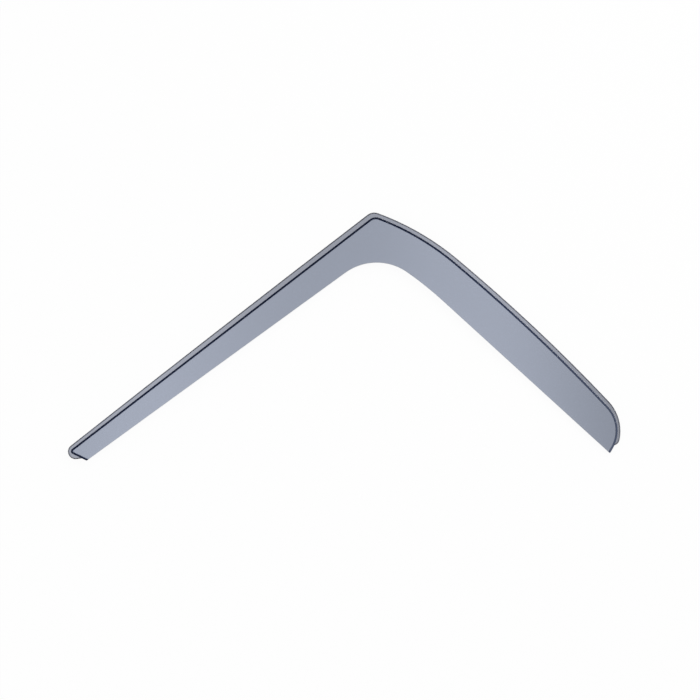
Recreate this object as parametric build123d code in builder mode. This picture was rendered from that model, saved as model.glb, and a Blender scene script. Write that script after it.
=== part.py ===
"""Window rain deflector: one moulded sheet of smoked acrylic, lying outer face up on its channel flange."""
import os
from math import cos, degrees, radians, sin, sqrt, tan

from build123d import *

# Driving dimensions in millimetres and degrees.
# The origin is the corner where the step's pillar run and roof run meet, on the flange's seating face.
# Slopes fall away from that corner: the pillar run goes to the left, the roof run to the right.

# Section
sheet = 3.0
flange_thickness = 2.8
step_height = 16.0
blade_fall = 0.95
edge_round = 0.6
bend_round = 0.6
flange_round = 0.6
rim_land = 0.3

# Pillar run of the step, up to the narrow end's slanting cut
pillar_length = 637.6
pillar_slope = 37.64
pillar_taper = 1.65
narrow_cut_angle = 63.2
narrow_cut_length = 33.8
narrow_inner_radius = 2.0

# Corner and roof run of the step, up to the wide end's tip
corner_radius = 17.0
roof_slope = 20.78
roof_bend_radius = 434.0
roof_bend_length = 144.4
roof_run_radius = 2900.0
roof_run_length = 349.0
roof_taper = 4.4
end_round_radius = 57.7
end_round_turn = 73.5
end_run_length = 9.7

# Free edge inside the V
inner_radius = 87.5
inner_easing_radius = 569.0
inner_easing_turn = 7.5
tip_radius = 1.5

# Channel flange
roof_flange_width = 6.9
pillar_flange_width = 8.3
narrow_flange_width = 5.7
pillar_flange_bow = 1.2
flange_corner_radius = 18.5
flange_end_lead = 6.0
flange_end_width = 5.7
flange_end_turn = 66.8
flange_stop_radius = 12.0
tongue_start = 8.8
tongue_radius = 12.5
tongue_lip_angle = 32.0

# Values that follow from the driving dimensions
lead_in = flange_thickness - flange_round - rim_land
corner_turn = pillar_slope + roof_slope
roof_bend_turn = degrees(roof_bend_length / roof_bend_radius)
roof_run_turn = degrees(roof_run_length / roof_run_radius)
roof_end_slope = roof_slope + roof_bend_turn + roof_run_turn
tip_slope = roof_end_slope + end_round_turn
cut_slope = pillar_slope - narrow_cut_angle
pillar_edge_slope = pillar_slope - pillar_taper
roof_edge_slope = roof_end_slope - roof_taper
inner_turn = pillar_edge_slope + roof_edge_slope
flange_lead_turn = degrees(flange_end_lead / roof_run_radius)
end_sine, end_cosine = sin(radians(flange_end_turn)), cos(radians(flange_end_turn))
flange_end_ease = (flange_end_width - roof_flange_width + flange_end_lead * end_sine) / (1 - end_cosine)
flange_end_radius = end_round_radius + roof_flange_width + flange_end_ease
tongue_turn = 180 - narrow_cut_angle + tongue_lip_angle
touching = 0.01


def along(angle, length=1.0):
    """A vector of the given length at an angle from +X."""
    return Vector(length * cos(radians(angle)), length * sin(radians(angle)))


def meeting_point(start, angle, other_start, other_angle):
    """Where the line from start at one angle meets the line from other_start at another."""
    way, other_way = along(angle), along(other_angle)
    return start + way * ((other_start - start).cross(other_way).Z / way.cross(other_way).Z)


def way_out(start, target, centre, radius):
    """Where the line from start through target leaves a circle."""
    way, offset = (target - start).normalized(), start - centre
    across = offset.dot(way)
    return start + way * (sqrt(across**2 - offset.dot(offset) + radius**2) - across)


def step_corner(inset):
    """The narrow end's corner of the step, moved inwards from both of the faces that meet there."""
    slide = inset / tan(radians(narrow_cut_angle / 2))
    return along(pillar_slope, slide - pillar_length) + along(pillar_slope - 90, inset)


def draw_step(inset, narrow_cut, end_run):
    """Draws the step from the narrow end's tip to the wide end's tip, and returns the two tips."""
    corner = step_corner(inset)
    narrow_tip = corner + along(cut_slope, narrow_cut)
    Line(narrow_tip, corner)
    round_start = along(pillar_slope, -corner_radius * tan(radians(corner_turn / 2)))
    round_start += along(pillar_slope - 90, inset)
    Line(corner, round_start)
    turn = JernArc(round_start, along(pillar_slope), corner_radius - inset, -corner_turn)
    bend = JernArc(turn @ 1, turn % 1, roof_bend_radius - inset, -roof_bend_turn)
    run = JernArc(bend @ 1, bend % 1, roof_run_radius - inset, -roof_run_turn)
    end = JernArc(run @ 1, run % 1, end_round_radius - inset, -end_round_turn)
    wide_tip = end @ 1 + along(-tip_slope, end_run)
    Line(end @ 1, wide_tip)
    return narrow_tip, wide_tip


# The blade is level along the pillar run and falls away from there, so the step is lowest at the wide end
blade_normal = Vector(0, 0, 1) + along(pillar_slope - 90, tan(radians(blade_fall)))
outer_face = Plane((0, 0, step_height), z_dir=blade_normal)
inner_face = outer_face.offset(-sheet)

with BuildSketch() as blade_outline:
    with BuildLine():
        narrow_tip, wide_tip = draw_step(0, narrow_cut_length, end_run_length)
        # Two straight free edges, joined by a tight round that eases into the roof's edge
        inner_corner = meeting_point(narrow_tip, pillar_edge_slope, wide_tip, 180 - roof_edge_slope)
        tight = inner_radius * tan(radians((inner_turn - inner_easing_turn) / 2))
        easy = inner_easing_radius * tan(radians(inner_easing_turn / 2))
        setback = tight + (tight + easy) * sin(radians(inner_easing_turn)) / sin(radians(inner_turn))
        inner_start = inner_corner + along(pillar_edge_slope, -setback)
        Line(narrow_tip, inner_start)
        inner = JernArc(inner_start, along(pillar_edge_slope), inner_radius, inner_easing_turn - inner_turn)
        easing = JernArc(inner @ 1, inner % 1, inner_easing_radius, -inner_easing_turn)
        Line(easing @ 1, wide_tip)
    make_face()
    fillet(blade_outline.vertices().sort_by_distance(narrow_tip)[0], tip_radius)
    fillet(blade_outline.vertices().sort_by_distance(wide_tip)[0], tip_radius)
    fillet(blade_outline.vertices().sort_by_distance(step_corner(0))[0], narrow_inner_radius + sheet)

# The hollow that the step wall stands around: under the blade, and out through the free edge
with BuildSketch() as hollow_outline:
    with BuildLine():
        hollow_ends = draw_step(sheet, 2 * narrow_cut_length, 2 * end_run_length)
        Line(*hollow_ends)
    make_face()
    fillet(hollow_outline.vertices().sort_by_distance(step_corner(sheet))[0], narrow_inner_radius)

# The flange runs outside the step, from the round tongue at the narrow end to a stop short of the wide tip
with BuildSketch() as flange_outline:
    with BuildLine():
        outward = pillar_slope + 90
        narrow_edge = step_corner(0) + along(outward, narrow_flange_width)
        corner_edge = along(outward, pillar_flange_width)
        bend_start = along(-roof_slope, corner_radius * tan(radians(corner_turn / 2)))
        bend_centre = bend_start + along(-roof_slope - 90, roof_bend_radius)
        bend_radius = roof_bend_radius + roof_flange_width
        flange_corner = way_out(narrow_edge, corner_edge, bend_centre, bend_radius)
        shoulder = narrow_edge + (flange_corner - narrow_edge).normalized() * tongue_start
        pillar_edge = SagittaArc(shoulder, flange_corner, pillar_flange_bow)
        tongue = JernArc(shoulder, pillar_edge % 0 * -1, tongue_radius, tongue_turn)
        tongue_root = tongue @ 1 + (tongue % 1) * (tongue_radius + 2 * sheet)
        Line(tongue @ 1, tongue_root)
        bend_end = bend_centre + along(90 - roof_slope - roof_bend_turn, bend_radius)
        bend = RadiusArc(flange_corner, bend_end, bend_radius)
        run_radius = roof_run_radius + roof_flange_width
        run_slope = roof_slope + roof_bend_turn
        run = JernArc(bend @ 1, along(-run_slope), run_radius, flange_lead_turn - roof_run_turn)
        end = JernArc(run @ 1, run % 1, flange_end_radius, -flange_end_turn)
        stop_slope = flange_lead_turn - roof_end_slope - flange_end_turn - 90
        stop = end @ 1 + along(stop_slope, 2 * flange_end_width + 2 * sheet)
        Line(end @ 1, stop)
        Line(stop, tongue_root)
    make_face()
    fillet(flange_outline.vertices().sort_by_distance(flange_corner)[0], flange_corner_radius)
    fillet(flange_outline.vertices().sort_by_distance(end @ 1)[0], flange_stop_radius)

with BuildPart() as hollow:
    add(hollow_outline.sketch)
    extrude(amount=step_height)
    split(bisect_by=inner_face, keep=Keep.BOTTOM)
    # Every upper edge is bent round except the long one, which lies out past the free edge
    ceiling = hollow.faces().sort_by(Axis.Z)[-1]
    fillet(ceiling.edges().sort_by(SortBy.LENGTH)[:-1], bend_round)

with BuildPart() as flange:
    add(flange_outline.sketch)
    extrude(amount=flange_thickness)
    chamfer(flange.edges().filter_by_position(Axis.Z, 0, 0), lead_in)
    add(hollow.part, mode=Mode.SUBTRACT)

with BuildPart() as deflector:
    add(blade_outline.sketch)
    extrude(amount=step_height + sheet)
    split(bisect_by=outer_face, keep=Keep.BOTTOM)
    fillet(deflector.faces().sort_by(Axis.Z)[-1].edges(), edge_round)
    add(flange.part)
    fillet(deflector.edges().filter_by_position(Axis.Z, flange_thickness, flange_thickness), flange_round)
    add(hollow.part, mode=Mode.SUBTRACT)
    cut_edges = deflector.edges(Select.NEW)
    free_edges = cut_edges.filter_by(lambda edge: abs(inner_face.to_local_coords(edge @ 0.5).Z) < touching)
    hollow_line = hollow_outline.wire()
    floor_edges = deflector.edges().filter_by_position(Axis.Z, 0, 0)
    foot_edges = floor_edges.filter_by(lambda edge: hollow_line.distance_to(edge @ 0.5) < touching)
    fillet(free_edges + foot_edges, edge_round)

deflector.part.label = "deflector"
os.makedirs("parts", exist_ok=True)
export_step(deflector.part, "parts/deflector.step")
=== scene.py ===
"""Window rain deflector: one smoked acrylic moulding, lying outer face up on a white studio floor."""
from math import log, radians

import bpy
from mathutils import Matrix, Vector


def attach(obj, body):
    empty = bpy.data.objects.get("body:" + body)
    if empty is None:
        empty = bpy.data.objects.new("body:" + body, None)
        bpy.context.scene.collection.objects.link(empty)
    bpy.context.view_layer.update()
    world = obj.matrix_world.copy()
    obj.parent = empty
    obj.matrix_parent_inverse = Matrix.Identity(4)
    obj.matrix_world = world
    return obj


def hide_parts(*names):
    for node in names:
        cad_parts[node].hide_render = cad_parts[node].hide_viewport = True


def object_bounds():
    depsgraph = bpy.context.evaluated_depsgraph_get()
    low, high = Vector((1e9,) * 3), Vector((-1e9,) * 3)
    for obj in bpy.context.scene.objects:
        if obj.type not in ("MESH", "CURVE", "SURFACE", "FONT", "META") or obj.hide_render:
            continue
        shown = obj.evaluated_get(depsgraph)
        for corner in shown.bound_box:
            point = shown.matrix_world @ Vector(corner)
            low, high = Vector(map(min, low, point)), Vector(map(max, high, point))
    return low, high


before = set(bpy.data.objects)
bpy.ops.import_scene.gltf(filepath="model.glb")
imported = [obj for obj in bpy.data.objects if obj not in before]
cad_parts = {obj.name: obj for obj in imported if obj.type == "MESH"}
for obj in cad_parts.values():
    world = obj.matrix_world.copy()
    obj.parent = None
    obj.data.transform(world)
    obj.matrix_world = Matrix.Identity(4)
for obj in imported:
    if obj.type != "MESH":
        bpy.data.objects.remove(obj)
cad_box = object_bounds()

bl_info = {
    "name": "Window Rain Deflector",
    "version": (1, 0, 0),
    "blender": (4, 5, 0),
    "location": "3D View > Sidebar > Deflector",
    "description": "Dresses the packed rain deflector as smoked acrylic and sets it on a white studio floor",
    "category": "Object",
}

PIECE = "deflector_moulding"
NODE = "deflector"
BODY = "root"
# Named face attribute, from 0 on the polished faces to 1 on the narrow ones that the mould leaves satin
SATIN = "satin_share"
# Upright share of a face's normal, above which the face counts as flat
FLAT = 0.97
# Refractive index of acrylic
ACRYLIC_IOR = 1.49
# Density of the volume per metre, far above what the plastic absorbs, so that the volume's colour stays pale
FULL_DENSITY = 2500.0
# Levels of the grain at which a scuff begins to show and is at its roughest
SCUFF_LEVELS = (0.55, 0.8)
# Place from the narrow end to the wide end, and the share of the tint's light that is left there: painted
# shade, darker at the corner and at the wide end, where less light gets under the blade
PAINTED_SHADE_ALONG = (
    (0.0, 0.95), (0.15, 1.0), (0.36, 0.865), (0.55, 0.835), (0.67, 0.93), (0.83, 0.915), (1.0, 0.70))


def linear(hex_colour):
    """The linear RGB of an sRGB hex value."""
    parts = [int(hex_colour[i:i + 2], 16) / 255 for i in (1, 3, 5)]
    return tuple(p / 12.92 if p <= 0.04045 else ((p + 0.055) / 1.055) ** 2.4 for p in parts)


def add_node(tree, kind, inputs=None, **settings):
    """Adds one node with its settings, and gives each named input a value or a link."""
    made = tree.nodes.new(kind)
    for name, value in settings.items():
        setattr(made, name, value)
    for key, value in (inputs or {}).items():
        if isinstance(value, bpy.types.NodeSocket):
            tree.links.new(value, made.inputs[key])
        else:
            made.inputs[key].default_value = value
    return made


class DeflectorSheet(bpy.types.PropertyGroup):
    """Sizes and colours of the moulding."""

    sheet: bpy.props.FloatProperty(
        name="Sheet", description="Thickness of the blade, which the tint is given for",
        default=0.003, min=0.0005, subtype="DISTANCE", unit="LENGTH")
    tint: bpy.props.FloatVectorProperty(
        name="Tint", description="White light after one sheet, where the moulding is palest",
        default=linear("#ADB4C4"), min=0.001, max=1.0, subtype="COLOR", size=3)
    gloss: bpy.props.FloatProperty(
        name="Gloss roughness", description="Roughness of the polished faces",
        default=0.03, min=0.0, max=1.0, subtype="FACTOR")
    scuff: bpy.props.FloatProperty(
        name="Scuff roughness", description="Roughness in the middle of a handling scuff",
        default=0.09, min=0.0, max=1.0, subtype="FACTOR")
    scuff_width: bpy.props.FloatProperty(
        name="Scuff width", description="Width of one handling scuff",
        default=0.0007, min=0.0001, precision=5, subtype="DISTANCE", unit="LENGTH")
    scuff_length: bpy.props.FloatProperty(
        name="Scuff length", description="Length of one handling scuff, along the moulding",
        default=0.035, min=0.0001, subtype="DISTANCE", unit="LENGTH")
    satin: bpy.props.FloatProperty(
        name="Satin roughness", description="Roughness of the flange's rim and of the blade's edges",
        default=0.28, min=0.0, max=1.0, subtype="FACTOR")
    satin_tone: bpy.props.FloatVectorProperty(
        name="Satin tone", description="Tone that the satin faces add, which takes some of the blue away",
        default=linear("#EFE6DC"), min=0.0, max=1.0, subtype="COLOR", size=3)
    flange_share: bpy.props.FloatProperty(
        name="Flange share", description="How satin the flange is on the flat faces that the channel grips",
        default=0.4, min=0.0, max=1.0, subtype="FACTOR")
    wave_length: bpy.props.FloatProperty(
        name="Wave length", description="Length of the waves that cooling leaves in the polished faces",
        default=0.055, min=0.005, subtype="DISTANCE", unit="LENGTH")
    wave_height: bpy.props.FloatProperty(
        name="Wave height", description="Height of the waves that cooling leaves in the polished faces",
        default=0.00005, min=0.0, precision=5, subtype="DISTANCE", unit="LENGTH")
    flange: bpy.props.FloatProperty(
        name="Flange", description="Thickness of the channel flange, whose faces are partly satin",
        default=0.0028, min=0.0005, subtype="DISTANCE", unit="LENGTH")
    weld: bpy.props.FloatProperty(
        name="Weld", description="Distance within which the corners of the solid's triangles become one",
        default=0.00001, min=0.0, precision=5, subtype="DISTANCE", unit="LENGTH")
    crease: bpy.props.FloatProperty(
        name="Crease", description="Turn between two faces above which their edge stays crisp",
        default=radians(40), min=0.0, max=radians(180), subtype="ANGLE", unit="ROTATION")


class DeflectorStage(bpy.types.PropertyGroup):
    """Floor, light and camera."""

    floor_size: bpy.props.FloatProperty(
        name="Floor size", description="Side of the square floor",
        default=40.0, min=2.0, subtype="DISTANCE", unit="LENGTH")
    floor_gap: bpy.props.FloatProperty(
        name="Floor gap", description="Air between the seating face and the floor, so that they stay apart",
        default=0.0003, min=0.00001, precision=5, subtype="DISTANCE", unit="LENGTH")
    floor_colour: bpy.props.FloatVectorProperty(
        name="Floor colour", description="Paint of the floor",
        default=linear("#F4F4F4"), min=0.0, max=1.0, subtype="COLOR", size=3)
    floor_glow: bpy.props.FloatProperty(
        name="Floor glow", description="Share of plain white in the floor; the rest takes the shadow",
        default=0.94, min=0.0, max=1.0, subtype="FACTOR")
    dome_low: bpy.props.FloatVectorProperty(
        name="Dome at the horizon", description="Studio walls",
        default=linear("#FFFFFF"), min=0.0, max=1.0, subtype="COLOR", size=3)
    dome_high: bpy.props.FloatVectorProperty(
        name="Dome overhead", description="Studio ceiling",
        default=linear("#404040"), min=0.0, max=1.0, subtype="COLOR", size=3)
    key_power: bpy.props.FloatProperty(
        name="Key light", description="Power of the stronger softbox",
        default=75.0, min=0.0, unit="POWER")
    fill_power: bpy.props.FloatProperty(
        name="Fill light", description="Power of the weaker softbox on the other side",
        default=45.0, min=0.0, unit="POWER")
    key_place: bpy.props.FloatVectorProperty(
        name="Key place", description="Place of the stronger softbox, from the middle of the view",
        default=(1.7, 1.5, 2.6), subtype="XYZ", unit="LENGTH", size=3)
    fill_place: bpy.props.FloatVectorProperty(
        name="Fill place", description="Place of the weaker softbox, from the middle of the view",
        default=(-2.2, -1.2, 2.4), subtype="XYZ", unit="LENGTH", size=3)
    softbox_size: bpy.props.FloatProperty(
        name="Softbox size", description="Side of each square softbox",
        default=3.0, min=0.1, subtype="DISTANCE", unit="LENGTH")
    lens: bpy.props.FloatProperty(
        name="Lens", description="Focal length of the camera",
        default=200.0, min=20.0, unit="CAMERA")
    view_width: bpy.props.FloatProperty(
        name="View width", description="Width of the picture, measured at the moulding",
        default=1.15675, min=0.1, subtype="DISTANCE", unit="LENGTH")
    view_centre: bpy.props.FloatVectorProperty(
        name="View centre", description="Point of the part's frame in the middle of the picture",
        default=(-0.0398, -0.2213, 0.006), subtype="XYZ", unit="LENGTH", size=3)


def smoked_acrylic(sheet):
    """Smoked acrylic, injection moulded in a polished tool."""
    # To the eye it is clear and glossy, and tinted blue-grey all through, so a thicker path looks darker:
    # the blade is grey, and the step wall, which is seen down its whole height, is nearly black.
    material = bpy.data.materials.new("smoked_acrylic_moulded_gloss")
    material.use_nodes = True
    tree = material.node_tree
    tree.nodes.clear()
    place = add_node(tree, "ShaderNodeTexCoord").outputs["Object"]
    # Painted shade: the base colour is palest near the narrow end and darkest at the wide end and in the
    # corner, where less light gets under the blade
    x = add_node(tree, "ShaderNodeSeparateXYZ", {"Vector": place}).outputs["X"]
    run = add_node(tree, "ShaderNodeMapRange", {
        "Value": x, "From Min": cad_box[0][0], "From Max": cad_box[1][0]}).outputs["Result"]
    tone = add_node(tree, "ShaderNodeValToRGB", {"Fac": run})
    ramp = tone.color_ramp
    ramp.interpolation = "CARDINAL"
    ramp.elements.remove(ramp.elements[1])
    ramp.elements[0].color = (*[PAINTED_SHADE_ALONG[0][1]] * 3, 1)
    for spot, share in PAINTED_SHADE_ALONG[1:]:
        ramp.elements.new(spot).color = (share, share, share, 1)
    # Polished faces carry faint scuffs along the moulding, drawn wider than real ones so that they show,
    # and the narrow edge faces are satin
    long_grain = add_node(tree, "ShaderNodeMapping", {
        "Vector": place, "Scale": (sheet.scuff_width / sheet.scuff_length, 1, 1)}).outputs["Vector"]
    grain = add_node(tree, "ShaderNodeTexNoise", {
        "Vector": long_grain, "Scale": 1 / sheet.scuff_width, "Detail": 3.0}).outputs["Fac"]
    gloss = add_node(tree, "ShaderNodeMapRange", {
        "Value": grain, "From Min": SCUFF_LEVELS[0], "From Max": SCUFF_LEVELS[1],
        "To Min": sheet.gloss, "To Max": sheet.scuff}).outputs["Result"]
    edge = add_node(tree, "ShaderNodeAttribute", attribute_name=SATIN).outputs["Fac"]
    roughness = add_node(tree, "ShaderNodeMix", {
        "Factor": edge, "A": gloss, "B": sheet.satin}).outputs["Result"]
    colour = add_node(tree, "ShaderNodeMix", {
        "Factor": edge, "A": tone.outputs["Color"], "B": (*sheet.satin_tone, 1)},
        data_type="RGBA", blend_type="MULTIPLY").outputs["Result"]
    # Slow waves from cooling bend what the blade mirrors
    swell = add_node(tree, "ShaderNodeTexNoise", {
        "Vector": place, "Scale": 1 / sheet.wave_length, "Detail": 1.0}).outputs["Fac"]
    waves = add_node(tree, "ShaderNodeBump", {
        "Height": swell, "Distance": sheet.wave_height}).outputs["Normal"]
    surface = add_node(tree, "ShaderNodeBsdfPrincipled", {
        "Base Color": colour, "Roughness": roughness, "Normal": waves,
        "IOR": ACRYLIC_IOR, "Transmission Weight": 1.0})
    absorbed = [-log(share) / sheet.sheet for share in sheet.tint]
    inside = add_node(tree, "ShaderNodeVolumeAbsorption", {
        "Color": (*(1 - a / FULL_DENSITY for a in absorbed), 1), "Density": FULL_DENSITY})
    add_node(tree, "ShaderNodeOutputMaterial", {
        "Surface": surface.outputs["BSDF"], "Volume": inside.outputs["Volume"]})
    return material


def white_paint(stage):
    """Matt white paint on the studio floor."""
    # To the eye it is an even white; a small share of it is lit, and takes the soft shadow of the moulding.
    material = bpy.data.materials.new("white_paint_matt")
    material.use_nodes = True
    tree = material.node_tree
    tree.nodes.clear()
    path = add_node(tree, "ShaderNodeLightPath")
    seen = path.outputs["Is Camera Ray"]
    for kind in ("Is Glossy Ray", "Is Transmission Ray"):
        seen = add_node(tree, "ShaderNodeMath", {0: seen, 1: path.outputs[kind]},
                        operation="ADD", use_clamp=True).outputs["Value"]
    share = add_node(tree, "ShaderNodeMath", {0: seen, 1: stage.floor_glow}, operation="MULTIPLY")
    lit = add_node(tree, "ShaderNodeBsdfDiffuse", {"Color": (*stage.floor_colour, 1)})
    white = add_node(tree, "ShaderNodeEmission", {"Strength": 1.0})
    mixed = add_node(tree, "ShaderNodeMixShader", {
        "Fac": share.outputs["Value"], 1: lit.outputs["BSDF"], 2: white.outputs["Emission"]})
    add_node(tree, "ShaderNodeOutputMaterial", {"Surface": mixed.outputs["Shader"]})
    return material


def finish_tree():
    """The tree that welds the solid's triangles, marks its satin edges and gives it its material."""
    tree = bpy.data.node_groups.new("moulding_finish", "GeometryNodeTree")
    sockets = {}
    for name, kind in (("Solid", "Geometry"), ("Weld", "Float"), ("Crease", "Float"), ("Flange top", "Float"),
                       ("Flange share", "Float"), ("Blade way", "Vector"), ("Blade foot", "Float"),
                       ("Material", "Material")):
        sockets[name] = tree.interface.new_socket(
            name, in_out="INPUT", socket_type=f"NodeSocket{kind}").identifier
    tree.interface.new_socket("Moulding", in_out="OUTPUT", socket_type="NodeSocketGeometry")
    given = add_node(tree, "NodeGroupInput")
    welded = add_node(tree, "GeometryNodeMergeByDistance", {
        "Geometry": given.outputs["Solid"], "Distance": given.outputs["Weld"]})
    turn = add_node(tree, "GeometryNodeInputMeshEdgeAngle")
    gentle = add_node(tree, "FunctionNodeCompare", {
        "A": turn.outputs["Unsigned Angle"], "B": given.outputs["Crease"]},
        data_type="FLOAT", operation="LESS_THAN")
    faces = add_node(tree, "GeometryNodeSetShadeSmooth", {
        "Geometry": welded.outputs["Geometry"], "Shade Smooth": True}, domain="FACE")
    edges = add_node(tree, "GeometryNodeSetShadeSmooth", {
        "Geometry": faces.outputs["Geometry"], "Shade Smooth": gentle.outputs["Result"]}, domain="EDGE")
    # Faces are satin where they turn from the flat at the rim of the flange and at the edges of the blade.
    # The flat faces of the flange are partly satin.
    facing = add_node(tree, "ShaderNodeSeparateXYZ", {
        "Vector": add_node(tree, "GeometryNodeInputNormal").outputs["Normal"]}).outputs["Z"]
    spot = add_node(tree, "GeometryNodeInputPosition").outputs["Position"]
    level = add_node(tree, "ShaderNodeSeparateXYZ", {"Vector": spot}).outputs["Z"]
    rise = add_node(tree, "ShaderNodeVectorMath", {
        0: spot, 1: given.outputs["Blade way"]}, operation="DOT_PRODUCT").outputs["Value"]
    flatness = add_node(tree, "ShaderNodeMath", {0: facing}, operation="ABSOLUTE").outputs["Value"]
    turned = add_node(tree, "ShaderNodeMath", {0: flatness, 1: FLAT}, operation="LESS_THAN").outputs["Value"]
    # A face belongs to the flange or to the blade where all its corners do, so the step wall is in neither
    regions = []
    for height, limit, way in ((level, "Flange top", "LESS_THAN"), (rise, "Blade foot", "GREATER_THAN")):
        within = add_node(tree, "FunctionNodeCompare", {
            "A": height, "B": given.outputs[limit]}, data_type="FLOAT", operation=way).outputs["Result"]
        regions.append(add_node(tree, "GeometryNodeFieldOnDomain", {
            "Value": within}, data_type="BOOLEAN", domain="POINT").outputs["Value"])
    flange, blade = regions
    either = add_node(tree, "ShaderNodeMath", {0: flange, 1: blade}, operation="MAXIMUM").outputs["Value"]
    edge = add_node(tree, "ShaderNodeMath", {0: either, 1: turned}, operation="MULTIPLY").outputs["Value"]
    partly = add_node(tree, "ShaderNodeMath", {
        0: flange, 1: given.outputs["Flange share"]}, operation="MULTIPLY").outputs["Value"]
    share = add_node(tree, "ShaderNodeMath", {0: edge, 1: partly}, operation="MAXIMUM").outputs["Value"]
    marked = add_node(tree, "GeometryNodeStoreNamedAttribute", {
        "Geometry": edges.outputs["Geometry"], "Name": SATIN, "Value": share},
        data_type="FLOAT", domain="FACE")
    whole = add_node(tree, "GeometryNodeRealizeInstances", {"Geometry": marked.outputs["Geometry"]})
    finished = add_node(tree, "GeometryNodeSetMaterial", {
        "Geometry": whole.outputs["Geometry"], "Material": given.outputs["Material"]})
    add_node(tree, "NodeGroupOutput", {"Moulding": finished.outputs["Geometry"]})
    return tree, sockets


class DEFLECTOR_OT_moulding(bpy.types.Operator):
    """Dresses the deflector's solid as one smoked acrylic moulding"""

    bl_idname = "deflector.moulding"
    bl_label = "Smoked acrylic moulding"
    bl_options = {"REGISTER", "UNDO"}

    def execute(self, context):
        sheet = context.scene.deflector_sheet
        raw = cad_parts[NODE].data.copy()
        raw.materials.clear()
        # The blade's outer face holds the largest of the triangles that look up
        blade = max((face for face in raw.polygons if face.normal.z > 0), key=lambda face: face.area)
        moulding = bpy.data.objects.new(PIECE, raw)
        context.scene.collection.objects.link(moulding)
        tree, sockets = finish_tree()
        finish = moulding.modifiers.new("finish", "NODES")
        finish.node_group = tree
        finish[sockets["Weld"]] = sheet.weld
        finish[sockets["Crease"]] = sheet.crease
        finish[sockets["Flange top"]] = sheet.flange + sheet.weld
        finish[sockets["Flange share"]] = sheet.flange_share
        finish[sockets["Blade way"]] = blade.normal
        finish[sockets["Blade foot"]] = blade.normal.dot(blade.center) - sheet.sheet - sheet.weld
        finish[sockets["Material"]] = smoked_acrylic(sheet)
        # At full weight, wide flat faces set the shading of their rounded edges, and stay flat to the eye
        flats = moulding.modifiers.new("flats", "WEIGHTED_NORMAL")
        flats.keep_sharp = True
        flats.weight = 100
        graph = context.evaluated_depsgraph_get()
        mesh = bpy.data.meshes.new_from_object(
            moulding.evaluated_get(graph), preserve_all_data_layers=True, depsgraph=graph)
        moulding.modifiers.clear()
        moulding.data = mesh
        mesh.name = PIECE
        bpy.data.meshes.remove(raw)
        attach(moulding, BODY)
        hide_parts(NODE)
        return {"FINISHED"}


class DEFLECTOR_OT_stage(bpy.types.Operator):
    """Sets out the white floor, the soft light and the camera above the moulding"""

    bl_idname = "deflector.stage"
    bl_label = "White studio"
    bl_options = {"REGISTER", "UNDO"}

    def execute(self, context):
        scene = context.scene
        stage = scene.deflector_stage
        half, low = stage.floor_size / 2, -stage.floor_gap
        mesh = bpy.data.meshes.new("floor")
        corners = [(-half, -half, low), (half, -half, low), (half, half, low), (-half, half, low)]
        mesh.from_pydata(corners, [], [(0, 1, 2, 3)])
        mesh.materials.append(white_paint(stage))
        floor = bpy.data.objects.new("floor", mesh)
        scene.collection.objects.link(floor)

        world = bpy.data.worlds.new("studio_dome")
        world.use_nodes = True
        tree = world.node_tree
        tree.nodes.clear()
        direction = add_node(tree, "ShaderNodeTexCoord").outputs["Generated"]
        height = add_node(tree, "ShaderNodeSeparateXYZ", {"Vector": direction}).outputs["Z"]
        shade = add_node(tree, "ShaderNodeMix", {
            "Factor": height, "A": (*stage.dome_low, 1), "B": (*stage.dome_high, 1)}, data_type="RGBA")
        dome = add_node(tree, "ShaderNodeBackground", {"Color": shade.outputs["Result"], "Strength": 1.0})
        add_node(tree, "ShaderNodeOutputWorld", {"Surface": dome.outputs["Background"]})
        scene.world = world

        middle = Vector(stage.view_centre)
        for name, place, power in (
                ("key_softbox", stage.key_place, stage.key_power),
                ("fill_softbox", stage.fill_place, stage.fill_power)):
            away = Vector(place)
            lamp = bpy.data.lights.new(name, "AREA")
            lamp.shape, lamp.size, lamp.energy = "SQUARE", stage.softbox_size, power
            box = bpy.data.objects.new(name, lamp)
            box.location = middle + away
            box.rotation_euler = away.to_track_quat("Z", "Y").to_euler()
            scene.collection.objects.link(box)

        camera = bpy.data.cameras.new("camera")
        camera.lens = stage.lens
        above = stage.lens / camera.sensor_width * stage.view_width
        view = bpy.data.objects.new("camera", camera)
        view.location = middle + Vector((0, 0, above))
        scene.collection.objects.link(view)
        scene.camera = view
        scene.view_settings.view_transform = "Standard"
        return {"FINISHED"}


class DEFLECTOR_PT_sidebar(bpy.types.Panel):
    """Lists the deflector's settings and steps"""

    bl_idname = "DEFLECTOR_PT_sidebar"
    bl_label = "Window Rain Deflector"
    bl_space_type = "VIEW_3D"
    bl_region_type = "UI"
    bl_category = "Deflector"

    def draw(self, context):
        steps = (("deflector_sheet", DEFLECTOR_OT_moulding), ("deflector_stage", DEFLECTOR_OT_stage))
        for group, step in steps:
            settings = getattr(context.scene, group)
            column = self.layout.column()
            for name in settings.__annotations__:
                column.prop(settings, name)
            column.operator(step.bl_idname)


CLASSES = (DeflectorSheet, DeflectorStage, DEFLECTOR_OT_moulding, DEFLECTOR_OT_stage, DEFLECTOR_PT_sidebar)


def register():
    for each in CLASSES:
        bpy.utils.register_class(each)
    bpy.types.Scene.deflector_sheet = bpy.props.PointerProperty(type=DeflectorSheet)
    bpy.types.Scene.deflector_stage = bpy.props.PointerProperty(type=DeflectorStage)


def unregister():
    del bpy.types.Scene.deflector_stage
    del bpy.types.Scene.deflector_sheet
    for each in reversed(CLASSES):
        bpy.utils.unregister_class(each)


def main():
    register()
    bpy.ops.deflector.moulding()
    bpy.ops.deflector.stage()


if __name__ == "__main__":
    main()
